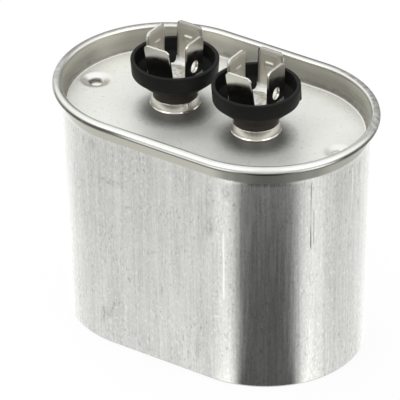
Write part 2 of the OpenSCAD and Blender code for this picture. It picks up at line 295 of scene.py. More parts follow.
def drawn_aluminium():
    """Satin aluminium with fine draw lines up the wall, cloudy tone and small dark and pale specks. The ring
    under the rim is smooth, its tone painted to change round the can with two painted dark reflections. The
    wall has the scratches and smudges of a handled can, a painted highlight line on its left wing, and a
    painted shade line round its foot."""
    material, shader, place, _ = finish("drawn_aluminium", Metallic=1.0)
    across, height = place.part("X"), place.part("Z")
    middle = across.math("MINIMUM", across.math("MAXIMUM", across, -run / 2), run / 2)
    around = middle + can_top_r * across.math("ARCTAN2", across - middle, 0 - place.part("Y"))
    lines = place.stretched((1, 1, 0.03)).noise(0.5 * mm, 3, 0.6)
    bands = place.stretched((1, 1, 0.04)).noise(1.6 * mm, 2)
    clouds = place.stretched((1, 1, 0.5)).noise(8 * mm, 3)
    grain = place.stretched((1, 1, 0.5)).noise(0.42 * mm, 2, 0.6)
    patches = place.noise(4 * mm, 2)
    specks = place.stretched((1, 1, 0.5)).noise(0.5 * mm, 1)
    smooth = height.step(panel_z + 0.5 * mm, panel_z + 1.0 * mm)
    tone = (lines - 0.5) * 0.9 + (bands - 0.5) * 0.55 + (clouds - 0.5) * 0.45 + (grain - 0.5) * 0.85 + 0.5
    colour = tone.step(0.0, 1.0).blend((0.505, 0.505, 0.49), (0.725, 0.725, 0.705))
    colour = (specks.step(0.62, 0.70) * patches.step(0.40, 0.60) * 0.55).blend(colour, rub_grey)
    colour = (specks.step(0.38, 0.30) * 0.4).blend(colour, (0.86, 0.86, 0.84))
    for place_round, place_up, half_round, half_up in SMUDGES.values():
        beside = (around - place_round * mm) / (half_round * mm)
        above = (height - place_up * mm) / (half_up * mm)
        rub = (1 - (beside * beside + above * above).step(0.1, 1.0)) * grain.step(0.40, 0.62) * 0.55
        colour = rub.blend(colour, rub_grey)
    for place_round, low, high, half, grey in SCRATCHES.values():
        wander = around - place_round * mm + (bands - 0.5) * 0.25 * mm
        line = (1 - abs(wander).step(half * 0.5 * mm, half * mm)) * height.step(low * mm, (low + 1.5) * mm)
        line = line * (1 - height.step((high - 1) * mm, high * mm)) * lines.step(0.3, 0.5)
        colour = line.blend(colour, (grey, grey, grey * 0.98))
    shade_lobes = []
    for start, full, fading, end, depth in NECK_SHADES.values():
        lobe = around.step(start * mm, full * mm) * (1 - around.step(fading * mm, end * mm))
        shade_lobes.append(lobe * depth)
    # The smooth neck's tone is painted to change with the distance round the wall, and two lobes are near
    # black: painted dark reflections
    neck = around.step(14.0 * mm, 22.0 * mm).blend((0.50, 0.497, 0.44), (0.56, 0.555, 0.51))
    neck = around.step(35 * mm, 41 * mm).blend(neck, (0.40, 0.397, 0.355))
    neck = (shade_lobes[0] + shade_lobes[1]).blend(neck, (0.04, 0.04, 0.036))
    colour = smooth.blend(colour, neck)
    # Painted shade: a dark line round the foot, where the wall meets the table
    colour = ((1 - height.step(0.2 * mm, 0.6 * mm)) * 0.55).blend(colour, (0.2, 0.2, 0.19))
    drawn = lines.step(0.4, 0.65) * 0.045 * (1 - smooth)
    feed(shader, Base_Color=colour, Roughness=0.21 + clouds * 0.06 + specks * 0.04 + drawn + smooth * 0.06,
         Height=((lines * 0.5 + grain * 0.35) * (1 - smooth), 0.016 * mm))
    return material


can_profile = rounded([
    [0, 0, 0],
    [can_top_r - draft, 0, foot_r],
    [can_top_r, panel_z, neck_bend_r],
    [neck_in + can_t, bead_z, 0],
    [neck_in, bead_z, 0],
    [neck_in - wall_lean, panel_z, 0],
    [neck_in - wall_lean - draft * (panel_z - fill_z) / panel_z, fill_z, 0],
    [0, fill_z, 0]])
can = surface("can_wall", "can_aluminium", drawn_aluminium(), round_the_oval(can_profile))
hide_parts("can")


# The lid is stamped from tinned steel sheet: a flat panel sunk in a leaning wall, with a dish pressed into
# each end. Its edge is rolled over the can's edge into a round rim, which closes the can for good.
lid_wall_top = bead_x - bead_r
lid_wall_low = lid_wall_top - wall_lean
panel_r = 0.6 * mm
panel_edge = lid_wall_low - panel_r
tuck_angle = 110
# Radius and depth of the dish at each end
DISHES = {-1: (3.6 * mm, 1.1 * mm), 1: (3.2 * mm, 0.8 * mm)}
dish_margin = 0.1 * mm
dish_reach = panel_edge - dish_margin - DISHES[-1][0]
dish_turn = np.radians(5.2)
pit_r = 1.3 * mm
pit_depth = 0.45 * mm
# Where the painted shade of each cup round its collar is centred, off the collar's middle
cup_shade_shift = (1.66 * mm, -2.5 * mm)
# Distances from a dish's middle between which its smoother finish fades out, and in the left dish its painted
# highlight
dish_fade = (3.2 * mm, 3.9 * mm)
# How much nearer the front the painted dark reflection along the rim's far side reaches at the left end
far_line_shift = 18 * mm


def ring_profile():
    """The lid's section as two stretches: from its panel's edge up the wall, and over the rim to the rim's
    tucked edge and back on the sheet's hidden side."""
    wall = rounded([
        [panel_edge, panel_z, 0],
        [lid_wall_low, panel_z, panel_r],
        [lid_wall_top, bead_z, 0]])
    over = arc((bead_x, bead_z), bead_r, 180, -tuck_angle, 44)
    under = arc((bead_x, bead_z), bead_r - lid_t, -tuck_angle, 180, 16)
    hidden = np.array([
        [lid_wall_low + lid_t, panel_z],
        [lid_wall_low + lid_t, panel_z - lid_t],
        [panel_edge, panel_z - lid_t]])
    return wall, np.concatenate([over, under, hidden])


def dish_profile(dish_r, dish_depth):
    """Distance from a dish's middle and depth: a flat-bottomed pit with a steep wall, then a bowl whose depth
    follows half a cosine wave, so that it runs softly out into the flat panel."""
    edge = dish_r + 0.08 * mm
    reach = np.linspace(pit_r + 0.25 * mm, edge, 22)
    bowl = np.c_[reach, -dish_depth / 2 * (1 + np.cos(np.pi * reach / edge))]
    floor = -dish_depth - pit_depth
    pit = rounded([[0, floor, 0], [pit_r - 0.1 * mm, floor, 0.2 * mm],
                   [pit_r + 0.05 * mm, bowl[0, 1], 0.2 * mm], bowl[0].tolist() + [0]], 7)
    return np.concatenate([pit[:-1], bowl])


def lid_half(end, drop):
    """Half of the panel on a grid round its dish: the columns fan out from the dish's middle to the half
    oval's outline, and the rows follow the dish's profile and then spread evenly to that outline."""
    spine, outward = oval_path()
    middle = end * np.array([run / 2 + dish_reach * np.cos(dish_turn), dish_reach * np.sin(dish_turn)])
    rim = np.c_[spine + outward[:, 0] * panel_edge, outward[:, 1] * panel_edge]
    rim = rim[rim[:, 0] * end > -1e-9]
    rim = rim[np.argsort(np.arctan2(rim[:, 1] - middle[1], (rim[:, 0] - middle[0]) * end))]
    cross = np.linspace(rim[-1, 1], rim[0, 1], 31)[1:]
    rim = np.concatenate([rim, np.c_[np.zeros(len(cross)), cross]])
    fan = rim - middle
    fan = fan / np.linalg.norm(fan, axis=1)[:, None]
    reach, depth = dish_profile(*DISHES[end]).T
    share = np.linspace(0, 1, 14)[1:, None, None] ** 1.3
    dish = middle + reach[:, None, None] * fan
    flat = dish[-1] * (1 - share) + rim * share
    points = np.empty((len(reach) + len(share), len(rim), 3))
    points[..., :2] = np.concatenate([dish, flat])
    points[..., 2] = panel_z - drop + np.r_[depth, np.zeros(len(share))][:, None]
    return points, points[..., :2]


def tinned_steel(wall_length):
    """Tinned sheet: a pale satin panel with fine pits, painted shade round each collar, and a painted
    highlight in the left dish with a painted shadow in its pit. The wall is painted streaky grey for shade
    and reflection, over a fillet with a painted highlight and a painted dark line. The rim is bright, with
    painted dark reflections along its crown, round the ends and along its far side, and painted shade on its
    tucked edge and below two corners."""
    material, shader, place, laid = finish("tinned_steel")
    across, back, height, over = place.part("X"), place.part("Y"), place.part("Z"), laid.part("Y")

    def rolled_to(degrees):
        return wall_length + bead_r * np.radians(180 - degrees)

    clouds = place.noise(7 * mm, 3)
    mottle = place.noise(1.3 * mm, 3, 0.55)
    specks = place.noise(0.5 * mm, 1)
    streaks = laid.stretched((0.12, 1, 1)).noise(0.5 * mm, 3, 0.6)
    rolled = laid.stretched((0.02, 1, 1)).noise(0.12 * mm, 2)
    raised = height.step(panel_z + 0.25 * mm, panel_z + 0.6 * mm)
    on_rim = raised * over.step(rolled_to(152), rolled_to(134))
    on_wall = raised * (1 - on_rim)
    foot = height.step(panel_z + 0.01 * mm, panel_z + 0.05 * mm) * (1 - raised)
    foot_line = height.step(panel_z + 0.07 * mm, panel_z + 0.14 * mm)
    foot_line = foot_line * (1 - height.step(panel_z + 0.35 * mm, panel_z + 0.7 * mm))
    crown = on_rim * over.step(rolled_to(122), rolled_to(112)) * (1 - over.step(rolled_to(84), rolled_to(70)))
    outside = on_rim * over.step(rolled_to(126), rolled_to(110))
    under_side = on_rim * over.step(rolled_to(34), rolled_to(6))
    tucked = on_rim * over.step(rolled_to(0), rolled_to(-20))
    turn = across.math("ARCTAN2", across - run / 2, 0 - back)
    right_front = turn.step(1.05, 1.35) * (1 - turn.step(1.75, 2.05)) * across.step(run / 2, run / 2 + 2 * mm)
    left_turn = across.math("ARCTAN2", across + run / 2, 0 - back)
    left_front = left_turn.step(-1.0, -0.7) * (1 - left_turn.step(0.1, 0.5))
    left_front = left_front * (1 - across.step(-run / 2, 0.0))
    ends = turn.step(1.6, 1.9) * across.step(run / 2, run / 2 + 8 * mm)
    ends = ends + (1 - left_turn.step(-1.05, -0.7)) * (1 - across.step(-run / 2 - 8 * mm, -run / 2))
    sign = across.math("SIGN", across)
    beside = abs(across) - (run / 2 + dish_reach * np.cos(dish_turn))
    beyond = back * sign - dish_reach * np.sin(dish_turn)
    from_pit = across.math("SQRT", beside * beside + beyond * beyond)
    left_end = 1 - across.step(-1 * mm, 1 * mm)
    in_dish = (1 - from_pit.step(*dish_fade)) * (0.2 + left_end * 0.8)
    far_line = on_rim * over.step(rolled_to(108), rolled_to(98))
    far_line = far_line * (back + left_end * far_line_shift).step(8 * mm, 16 * mm)
    colour = ((clouds - 0.5) * 0.7 + 0.5).step(0.0, 1.0).blend((0.82, 0.83, 0.795), (0.94, 0.95, 0.915))
    colour = (specks.step(0.66, 0.74) * (1 - raised) * 0.4).blend(colour, (0.42, 0.42, 0.40))
    # Painted shade: the panel is painted dark round each collar, shifted to the front, where the cup above
    # shades it and shows in it
    off_collar = abs(across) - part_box("collar_right")[1].x / 2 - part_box("collar_right")[0].x / 2
    off_collar = off_collar * sign - cup_shade_shift[0]
    off_back = back - cup_shade_shift[1]
    from_collar = across.math("SQRT", off_collar * off_collar + off_back * off_back)
    from_collar = from_collar + (mottle - 0.5) * 1.2 * mm
    colour = ((1 - from_collar.step(5.0 * mm, 10.0 * mm)) * 0.85).blend(colour, (0.10, 0.098, 0.09))
    # Painted highlight: the left dish and its pit are painted near white, and the pit is also made matt
    colour = (in_dish * left_end).blend(colour, (0.97, 0.965, 0.94))
    in_pit = 1 - from_pit.step(pit_r - 0.2 * mm, pit_r)
    colour = (in_pit * left_end).blend(colour, (0.95, 0.95, 0.94))
    # Painted shadow: a dark crescent on the far left side of the left dish's pit
    pit_shade = from_pit.step(pit_r - 0.3 * mm, pit_r)
    pit_shade = pit_shade * (1 - from_pit.step(pit_r + 0.1 * mm, pit_r + 0.7 * mm))
    pit_shade = pit_shade * left_end * ((beyond * 0.55 - beside * 0.97) * sign).step(0.0, 0.9 * mm)
    colour = (pit_shade * 0.85).blend(colour, (0.08, 0.078, 0.07))
    # Painted shade and reflection on the lid's wall: streaky dark grey, lighter at the back, behind the left
    # end and towards the top, darker near the foot
    wall_shade = (streaks * 0.6 + clouds * 0.4).step(0.32, 0.62).blend((0.22, 0.208, 0.176), (0.38, 0.367, 0.325))
    rear = back.step(12 * mm, 22 * mm) * (1 - abs(across).step(run / 2 + 2 * mm, run / 2 + 14 * mm))
    wall_shade = (rear * 0.5).blend(wall_shade, (0.62, 0.60, 0.53))
    low = 1 - height.step(panel_z + 0.6 * mm, panel_z + 1.8 * mm)
    wall_shade = (low * mottle.step(0.4, 0.6) * 0.6).blend(wall_shade, (0.19, 0.175, 0.145))
    back_left = left_turn.step(-2.7, -2.35) * (1 - left_turn.step(-1.95, -1.65)) * left_end
    wall_shade = (back_left * 0.5).blend(wall_shade, (0.80, 0.77, 0.68))
    upper = height.step(panel_z + 2.0 * mm, panel_z + 4.6 * mm)
    wall_shade = (upper * 0.5).blend(wall_shade, (0.62, 0.60, 0.53))
    wall_shade = ((1 - upper) * 0.3).blend(wall_shade, (0.12, 0.113, 0.095))
    colour = (on_wall * 0.94).blend(colour, wall_shade)
    # Painted highlight on the fillet at the wall's foot, and a painted dark line just above it
    colour = foot.blend(colour, (0.92, 0.91, 0.88))
    colour = (foot_line * (0.65 + mottle * 0.3)).blend(colour, (0.15, 0.14, 0.115))
    # Painted dark reflection along the rim's crown
    colour = (crown * (0.3 + mottle * 0.3)).blend(colour, (0.36, 0.355, 0.34))
    # Painted dark reflection: the rim round the two ends is painted a mottled grey and made duller
    ends_reflection = outside * ends
    ends_reflection_tone = mottle.step(0.35, 0.65).blend((0.24, 0.24, 0.23), (0.50, 0.50, 0.48))
    colour = ends_reflection.blend(colour, (left_end * 0.5).blend(ends_reflection_tone, (0.56, 0.56, 0.54)))
    # Painted dark reflection along the rim's far side, lighter round the right end
    colour = (far_line * (1 - ends * (1 - left_end) * 0.4) * 0.8).blend(colour, (0.20, 0.195, 0.185))
    # Painted shade under the rim at two front corners, in the crevice above the neck
    corners = (right_front + left_front) * mottle.step(0.0, 0.45)
    colour = (under_side * corners).blend(colour, (0.10, 0.095, 0.085))
    # Painted shade on the rim's tucked edge, in the gap under the rim
    colour = tucked.blend(colour, (0.13, 0.125, 0.115))
    metallic = 1 - (1 - raised) * (1 - in_dish) * 0.3 - ends_reflection * 0.6 - in_pit * left_end * 0.8
    roughness = 0.44 + clouds * 0.1 - on_rim * 0.2 - on_wall * 0.1 - in_dish * 0.2 - foot * 0.2 + ends_reflection * 0.25
    feed(shader, Base_Color=colour, Metallic=metallic, Roughness=roughness,
         Height=(specks * 0.5 + rolled * on_rim, 0.002 * mm))
    return material


wall_profile, rim_profile = ring_profile()
wall_length = np.linalg.norm(np.diff(wall_profile, axis=0), axis=1).sum()
tinned = tinned_steel(wall_length)
ring = round_the_oval(np.concatenate([wall_profile[:-1], rim_profile]))
halves = [lid_half(end, drop) for end in (-1, 1) for drop in (0, lid_t)]
lid = surface("lid_sheet", "lid_tinplate", tinned, ring, *halves)
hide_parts("lid")


# Each collar is a small cup of nickel-plated sheet that sits on the lid round a terminal's neck. Its side
# leans out to a short foot on the panel, and its mouth is rounded over against the neck.
SIDES = ("left", "right")
collar_h = 2.05 * mm
collar_r = 5.05 * mm
collar_foot_r = 5.65 * mm
collar_t = 0.3 * mm
neck_r = 4.75 * mm


def turned(node, profile, steps=144):
    """Turns a profile of [radius, height above the lid panel] about a CAD node's upright middle line."""
    low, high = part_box(node)
    angle = np.linspace(0, 2 * np.pi, steps + 1)
    radius, height = np.asarray(profile).T
    points = np.empty((len(angle), len(profile), 3))
    points[..., 0] = (low.x + high.x) / 2 + np.cos(angle)[:, None] * radius
    points[..., 1] = (low.y + high.y) / 2 + np.sin(angle)[:, None] * radius
    points[..., 2] = panel_z + height
    return points, lengths(points)


def nickel_plate():
    """Warm bright nickel with fine lines round it from the drawing tool."""
    material, shader, place, _ = finish("nickel_plate", Metallic=0.8)
    lines = place.stretched((0.05, 0.05, 1)).noise(0.12 * mm, 2)
    clouds = place.noise(1.5 * mm, 3)
    colour = (lines * 0.5 + clouds * 0.5).step(0.2, 0.8).blend((0.70, 0.67, 0.60), (0.90, 0.87, 0.81))
    feed(shader, Base_Color=colour, Roughness=0.1 + clouds * 0.1, Height=(lines, 0.0003 * mm))
    return material


collar_profile = rounded([
    [neck_r + 0.02 * mm, collar_t, 0],
    [neck_r + 0.02 * mm, collar_h, 0.02 * mm],
    [collar_r - 0.1 * mm, collar_h, 0.15 * mm],
    [collar_r + 0.27 * mm, 0.4 * mm, 0.2 * mm],
    [collar_foot_r - 0.12 * mm, 0.1 * mm, 0.05 * mm],
    [collar_foot_r - 0.15 * mm, 0.03 * mm, 0.02 * mm],
    [collar_foot_r - 0.4 * mm, 0, 0],
    [neck_r - 0.7 * mm, 0, 0],
    [neck_r - 0.7 * mm, collar_t, 0],
    [neck_r + 0.02 * mm, collar_t, 0]])
nickel = nickel_plate()
for side in SIDES:
    collar = surface(f"collar_cup_{side}", "collar_nickel", nickel, turned(f"collar_{side}", collar_profile))
    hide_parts(f"collar_{side}")


# Each insulator is moulded in black thermoset: a neck through the lid, a cone, and a shallow cup with an
# upright wall that keeps the tabs apart from the can. The mould leaves a satin skin and a gate mark.
cup_r = 9.5 * mm
cup_h = 10.85 * mm
cup_wall_h = 3.5 * mm
cup_draft = 0.24 * mm
lip_t = 0.9 * mm
cup_step = 0.5 * mm
neck_h = 3.25 * mm
base_z = 6.2 * mm
floor_r = 6.67 * mm
spigot_r = 3.8 * mm
spigot_end = -lid_t - 1.2 * mm
bore_r = 1.61 * mm
GATE_TURNS = {"left": np.radians(150), "right": np.radians(31)}
gate_h = 0.5 * mm
gate_spread = 0.55 * mm


def moulded_black():
    """Black moulded plastic: satin, with a fine uneven skin, pale scuffs and a browner lower cone."""
    material, shader, place, _ = finish("moulded_black", Specular_IOR_Level=0.1)
    skin = place.noise(0.3 * mm, 3, 0.6)
    clouds = place.noise(2.5 * mm, 3)
    scuff = place.stretched((1, 1, 0.5)).noise(0.7 * mm, 4, 0.7).step(0.66, 0.78) * clouds.step(0.5, 0.7)
    low = 1 - place.part("Z").step(panel_z + neck_h, panel_z + neck_h + 2.5 * mm)
    colour = low.blend((0.011, 0.011, 0.011), (0.050, 0.043, 0.036))
    colour = (scuff * 0.5).blend(colour, (0.09, 0.09, 0.09))
    feed(shader, Base_Color=colour, Roughness=0.36 + clouds * 0.16 + scuff * 0.2, Height=(skin, 0.006 * mm))
    return material


def gated(grid, node, turn):
    """Raises a small round nub on the lower edge of the cup's wall, where the mould was filled: points move
    out from the cup's axis by a bell curve of their distance from the gate."""
    points, laid = grid
    low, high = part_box(node)
    middle = np.array([(low.x + high.x) / 2, (low.y + high.y) / 2, 0])
    gate = middle + [cup_r * np.cos(turn), cup_r * np.sin(turn), panel_z + cup_h - cup_wall_h + 0.1 * mm]
    away = np.linalg.norm(points - gate, axis=-1)
    outward = (points - middle) * [1, 1, 0] / cup_r
    return points + outward * (gate_h * np.exp(-(away / gate_spread) ** 2))[..., None], laid


insulator_profile = rounded([
    [bore_r, spigot_end, 0],
    [spigot_r, spigot_end, 0],
    [spigot_r, collar_t, 0],
    [neck_r, collar_t, 0],
    [neck_r, neck_h, 0.3 * mm],
    [cup_r - cup_draft, cup_h - cup_wall_h, 0.6 * mm],
    [cup_r, cup_h, 0.2 * mm],
    [cup_r - lip_t, cup_h, 0.2 * mm],
    [cup_r - lip_t - cup_draft, cup_h - cup_wall_h + cup_step, 0.6 * mm],
    [floor_r, base_z, 0],
    [bore_r, base_z, 0],
    [bore_r, spigot_end, 0]])
black = moulded_black()
for side in SIDES:
    node = f"insulator_{side}"
    cup = gated(turned(node, insulator_profile), node, GATE_TURNS[side])
    insulator = surface(f"insulator_cup_{side}", "insulator_resin", black, cup)
    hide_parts(node)


# Each bush is a washer of pressed fibre under the lid, round the foot of an insulator. The riveting
# squeezes it against the sheet, and the closed can hides it.
def pressed_fibre():
    """Brown pressed fibre, dull and mottled."""
    material, shader, place, _ = finish("pressed_fibre", Roughness=0.8)
    mottle = place.noise(0.6 * mm, 4, 0.7)
    feed(shader, Base_Color=mottle.step(0.3, 0.7).blend((0.30, 0.20, 0.12), (0.48, 0.35, 0.23)),
         Height=(mottle, 0.02 * mm))
    return material


fibre = pressed_fibre()
for side in SIDES:
    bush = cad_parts[f"bush_{side}"]
    bush.data.materials.clear()
    bush.data.materials.append(fibre)


# Each terminal is stamped from tinned brass as a cross and bent up into four quick-connect tabs. The pair
# across the long axis has a round hole, and each tab has a small detent pressed towards the middle.
tab_w = 6.35 * mm
tab_t = 0.8 * mm
bend_r = 0.4 * mm
tab_corner = 1.1 * mm
edge_r = 0.13 * mm
bevel = 1.4 * mm
hole_r = 1.35 * mm
hole_drop = 6.4 * mm
detent_drop = 3.5 * mm
detent_w = 2.4 * mm
detent_h = 1.5 * mm
detent_depth = 0.26 * mm
detent_slope = 0.5 * mm
detent_margin = 0.1 * mm
plate_half = 4.0 * mm
# How far a tab's foot is from the middle, the height of its tip above the base, and how far it leans out
HOLED_TAB = (4.63 * mm, 9.6 * mm, np.radians(1.5))
FRONT_TAB = (5.0 * mm, 9.35 * mm, np.radians(11.0))
REAR_TAB = (5.2 * mm, 9.45 * mm, np.radians(3.0))
mid_r = bend_r + tab_t / 2


def bent(tab, reach, side, lift):
    """Bends a flat strip up: reach is the distance along the strip's middle layer from the terminal's
    middle, side is across the strip, and lift is off its middle layer. The strip lies flat, turns up
    along a circle, and then runs on straight, a few degrees off upright."""
    half, _, lean = tab
    flat = half - mid_r
    turn = np.clip((reach - flat) / mid_r, 0, np.pi / 2 - lean)
    past = np.maximum(reach - flat - mid_r * (np.pi / 2 - lean), 0)
    out = np.minimum(reach, flat) + (mid_r - lift) * np.sin(turn) + past * np.sin(lean)
    up = base_z + tab_t / 2 + mid_r - (mid_r - lift) * np.cos(turn) + past * np.cos(lean)
    return np.stack([out, side, panel_z + up], -1)


def strip_length(tab):
    """The reach of a tab's tip along the middle layer of its strip."""
    half, height, lean = tab
    straight = (height + tab_t / 2 - mid_r + mid_r * np.sin(lean)) / np.cos(lean)
    return half - mid_r + mid_r * (np.pi / 2 - lean) + straight


def press(tip, reach, side, layer):
    """How far the detent moves the sheet inwards: its full depth on a small rectangle with smoothly sloped
    sides, and less on the outer face, where the punch leaves a shallow hollow."""
    off_middle = np.abs(tip - detent_drop - reach)
    along = np.clip((detent_h / 2 + detent_margin - off_middle) / detent_slope, 0, 1)
    over = np.clip((detent_w / 2 + detent_margin - np.abs(side)) / detent_slope, 0, 1)
    depth = along * over
    return detent_depth * depth ** 2 * (3 - 2 * depth) * (0.12 + 0.88 * layer)


def bevelled(from_edge):
    """How much of its height off the middle layer the inner face keeps at a distance from the tab's edge: a
    tenth at the edge and all of it past the bevel, with a rise along a parabola between."""
    return 1 - 0.9 * (1 - np.clip(from_edge / bevel, 0, 1)) ** 2


def plain_tab(tab):
    """A tab without a hole and its half of the base as one bent strip: a flat rounded section carried from
    the tip to the middle. It narrows round the corners, closes to a line at the tip, and its inner face
    rounds off towards the edges."""
    tip = strip_length(tab)
    quarter = np.linspace(0, np.pi / 2, 5)
    corner = tab_corner * (1 - np.cos(np.linspace(0.5, np.pi / 2, 12)))
    left = np.r_[0, edge_r * (1 - np.cos(quarter)), corner, np.linspace(tab_corner + 0.1 * mm, tip, 110)]
    thick = tab_t / 2 - edge_r + np.sqrt(np.maximum(edge_r ** 2 - np.maximum(edge_r - left, 0) ** 2, 0))
    thick[0] = 0
    inset = np.maximum(tab_corner - left, 0)
    wide = tab_w / 2 - tab_corner + np.sqrt(np.maximum(tab_corner ** 2 - inset ** 2, 0))
    across = np.linspace(1, -1, 54)
    face = np.c_[across, np.ones(54), np.zeros(54), np.zeros(54)]
    side_edge = np.c_[-np.ones(10), np.r_[np.ones(5), -np.ones(5)],
                      -np.r_[np.sin(quarter), np.cos(quarter)], np.r_[np.cos(quarter), -np.sin(quarter)]]
    half_loop = np.concatenate([face, side_edge[1:-1]])
    loop = np.concatenate([half_loop, -half_loop, half_loop[:1]])
    round_edge = np.minimum(edge_r, thick * 0.8)[:, None]
    side = loop[:, 0] * (wide[:, None] - round_edge) + loop[:, 2] * round_edge
    lift = loop[:, 1] * (thick[:, None] - round_edge * (loop[:, 2] != 0)) + loop[:, 3] * round_edge
    from_edge = np.minimum(wide[:, None] - np.abs(side), left[:, None])
    lift = np.where(lift > 0, lift * bevelled(from_edge), lift)
    reach = np.broadcast_to(tip - left[:, None], side.shape)
    layer = lift / tab_t + 0.5
    return bent(tab, reach, side, lift + press(tip, reach, side, layer)), np.stack([layer, reach], -1)


def holed_tab(tab, start):
    """One tab with its hole: columns fan out from the hole to the strip's outline, and rows go round the
    sheet's section, from the hole's wall over one face, round the outline's edge and back on the other."""
    tip = strip_length(tab)
    middle = tip - hole_drop
    outline = rounded([
        [0, tip, 0], [tab_w / 2, tip, tab_corner], [tab_w / 2, start, 0.1 * mm],
        [-tab_w / 2, start, 0.1 * mm], [-tab_w / 2, tip, tab_corner], [0, tip, 0]], 14)
    gaps = np.r_[0, np.cumsum(np.linalg.norm(np.diff(outline, axis=0), axis=1))]
    even = np.linspace(0, gaps[-1], 221)
    outline = np.c_[np.interp(even, gaps, outline[:, 0]), np.interp(even, gaps, outline[:, 1])]
    fan = outline - [0, middle]
    rim = [0, middle] + fan / np.linalg.norm(fan, axis=1)[:, None] * hole_r
    span = np.linalg.norm(outline - rim, axis=1)[:, None]
    quarter = np.linspace(0, np.pi / 2, 5)
    inner = edge_r * (1 - np.sin(quarter))
    spread = np.linspace(0, 1, 40)[1:-1]
    rows = edge_r + (span - 2 * edge_r) * spread
    near = np.broadcast_to(inner, (len(span), 5))
    far = span - edge_r + edge_r * np.sin(quarter)
    distance = np.concatenate([near, rows, far], axis=1)
    fall = np.concatenate([edge_r - edge_r * np.sin(np.arccos(np.clip(1 - inner / edge_r, -1, 1))),
                           spread * 0, edge_r - edge_r * np.cos(quarter)])
    direction = (outline - rim) / span
    side = rim[:, :1] + direction[:, :1] * distance
    reach = rim[:, 1:] + direction[:, 1:] * distance
    lift = tab_t / 2 - np.minimum(fall, tab_t / 2)
    full = np.broadcast_to(lift, reach.shape)
    inner = full * bevelled(span - distance)
    lift = np.concatenate([inner, -full[:, ::-1], inner[:, :1]], axis=1)
    side = np.concatenate([side, side[:, ::-1], side[:, :1]], axis=1)
    reach = np.concatenate([reach, reach[:, ::-1], reach[:, :1]], axis=1)
    layer = lift / tab_t + 0.5
    return bent(tab, reach, side, lift + press(tip, reach, side, layer)), np.stack([layer, reach], -1)


def base_plate():
    """The square middle of the stamping: columns fan out from its middle over the top, round its edge and
    back below, to a square with rounded corners, which a circle's formula with fourth powers gives."""
    angle = np.linspace(0, 2 * np.pi, 97)[:, None]
    reach = plate_half / (np.cos(angle) ** 4 + np.sin(angle) ** 4) ** 0.25
    share = np.r_[0, 0.5, 0.97, 1, 1, 0.97, 0]
    height = base_z + tab_t * np.r_[1, 1, 1, 0.85, 0.15, 0, 0]
    points = np.stack(np.broadcast_arrays(np.cos(angle) * reach * share, np.sin(angle) * reach * share,
                                          panel_z + height), -1)
    return points, np.stack(np.broadcast_arrays((height - base_z) / tab_t, reach * share), -1)


def placed(grid, node, quarter):
    """Turns a grid's points by quarters about the upright axis and moves them to a CAD node's middle. Its map
    holds the layer of the sheet, from 0 on the outer face to 1 on the inner one, and the reach."""
    points, laid = grid
    low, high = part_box(node)
    turn = np.array([[1, 0], [0, 1]]) if quarter % 2 == 0 else np.array([[0, 1], [-1, 0]])
    turn = turn * (-1 if quarter >= 2 else 1)
    moved = points.copy()
    moved[..., :2] = points[..., :2] @ turn + [(low.x + high.x) / 2, (low.y + high.y) / 2]
    return moved, laid


def tinned_brass():
    """Tin plate on brass: warm grey with a soft grain up the tabs, with painted shade on their outer faces
    and a painted dark reflection at the rear tab's tip, dull on the inner faces, and painted near white and
    matt on the base, a painted highlight."""
    material, shader, place, laid = finish("tinned_brass")
    upright = place.part("Z").step(panel_z + base_z + 1.2 * mm, panel_z + base_z + 2.2 * mm)
    dull = laid.part("X").step(0.6, 0.9) * upright
    grain = place.stretched((1, 1, 0.1)).noise(0.25 * mm, 2)
    clouds = place.noise(1.8 * mm, 3)
    # Painted highlight: the base is painted near white and made matt, where it catches the light from above
    base_glare = 1 - upright
    colour = (grain * 0.3 + clouds * 0.7).step(0.2, 0.8).blend((0.74, 0.72, 0.67), (0.84, 0.83, 0.79))
    colour = (dull * 0.75).blend(colour, (0.55, 0.525, 0.45))
    # Painted shade: the outer faces of the tabs are painted darker
    outer = (1 - laid.part("X").step(0.03, 0.2)) * upright
    colour = (outer * 0.65).blend(colour, (0.54, 0.53, 0.49))
    # Painted dark reflection: the rear tab's tip is painted dark grey
    rear_tip = laid.part("Y").step(strip_length(REAR_TAB) - 1.3 * mm, strip_length(REAR_TAB) - 0.5 * mm)
    rear_tip = rear_tip * place.part("Y").step(3 * mm, 4 * mm)
    colour = (rear_tip * 0.7).blend(colour, (0.30, 0.29, 0.265))
    colour = base_glare.blend(colour, (0.96, 0.96, 0.95))
    feed(shader, Base_Color=colour, Metallic=1 - dull * 0.3 - base_glare * 0.8,
         Roughness=0.1 + clouds * 0.06 + dull * 0.25 + outer * 0.06 + base_glare * 0.35,
         Height=(grain, 0.0004 * mm))
    return material


tin = tinned_brass()
# The holed tabs lie this much below the plain strips, and the plate twice as much, so that no two faces
# fall together
tuck = 0.03 * mm
holed_start = 2.0 * mm
for side in SIDES:
    node = f"terminal_{side}"
    plate, laid = base_plate()
    plate[..., 2] -= 2 * tuck
    tabs = [placed(plain_tab(REAR_TAB), node, 1), placed(plain_tab(FRONT_TAB), node, 3),
            placed((plate, laid), node, 0)]
    for quarter in (0, 2):
        tab, laid = holed_tab(HOLED_TAB, holed_start)
        tab[..., 2] -= tuck
        tabs.append(placed((tab, laid), node, quarter))
    terminal = surface(f"tabs_{side}", "terminal_brass", tin, *tabs)
    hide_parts(node)


# Each rivet is a solid plated steel rivet with flat heads. It clamps the terminal, the insulator, the lid
# and the bush together, and its hammered upper head shows between the tabs.
rivet_r = 1.55 * mm
rivet_head_r = 2.7 * mm
rivet_head_h = 0.7 * mm
bush_end = spigot_end - 1.0 * mm


